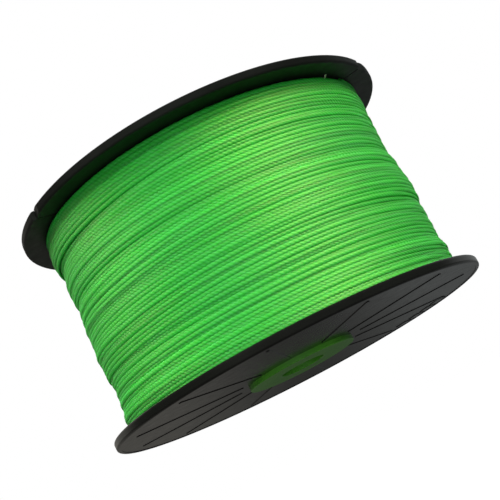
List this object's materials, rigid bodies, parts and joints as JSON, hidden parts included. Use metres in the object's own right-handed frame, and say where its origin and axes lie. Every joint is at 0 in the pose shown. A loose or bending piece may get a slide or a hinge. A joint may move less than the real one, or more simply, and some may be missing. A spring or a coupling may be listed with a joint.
{
  "type": "fishing line spool",
  "caption": "Flanged fishing line spool with a moulded core and a spindle bore, wound full with thick braided line.",
  "frame": {"origin": "centre of the lower boss face, which the spool stands on", "axes": "+Z along the spool's axis, from the slotted flange to the plain flange; the slits and ribs set the direction of +X"},
  "size_m": [0.1, 0.1, 0.0591],
  "materials": {
    "core_plastic": "satin",
    "flange_plastic": "satin",
    "anchor_tape": "matte",
    "braided_line": "satin"
  },
  "bodies": {
    "root": {"core": "core_plastic", "slotted_flange": "flange_plastic", "plain_flange": "flange_plastic", "anchor_tape": "anchor_tape", "line_inner_layers": "braided_line", "line_outer_layer": "braided_line", "line_end": "braided_line"}
  },
  "joints": []
}
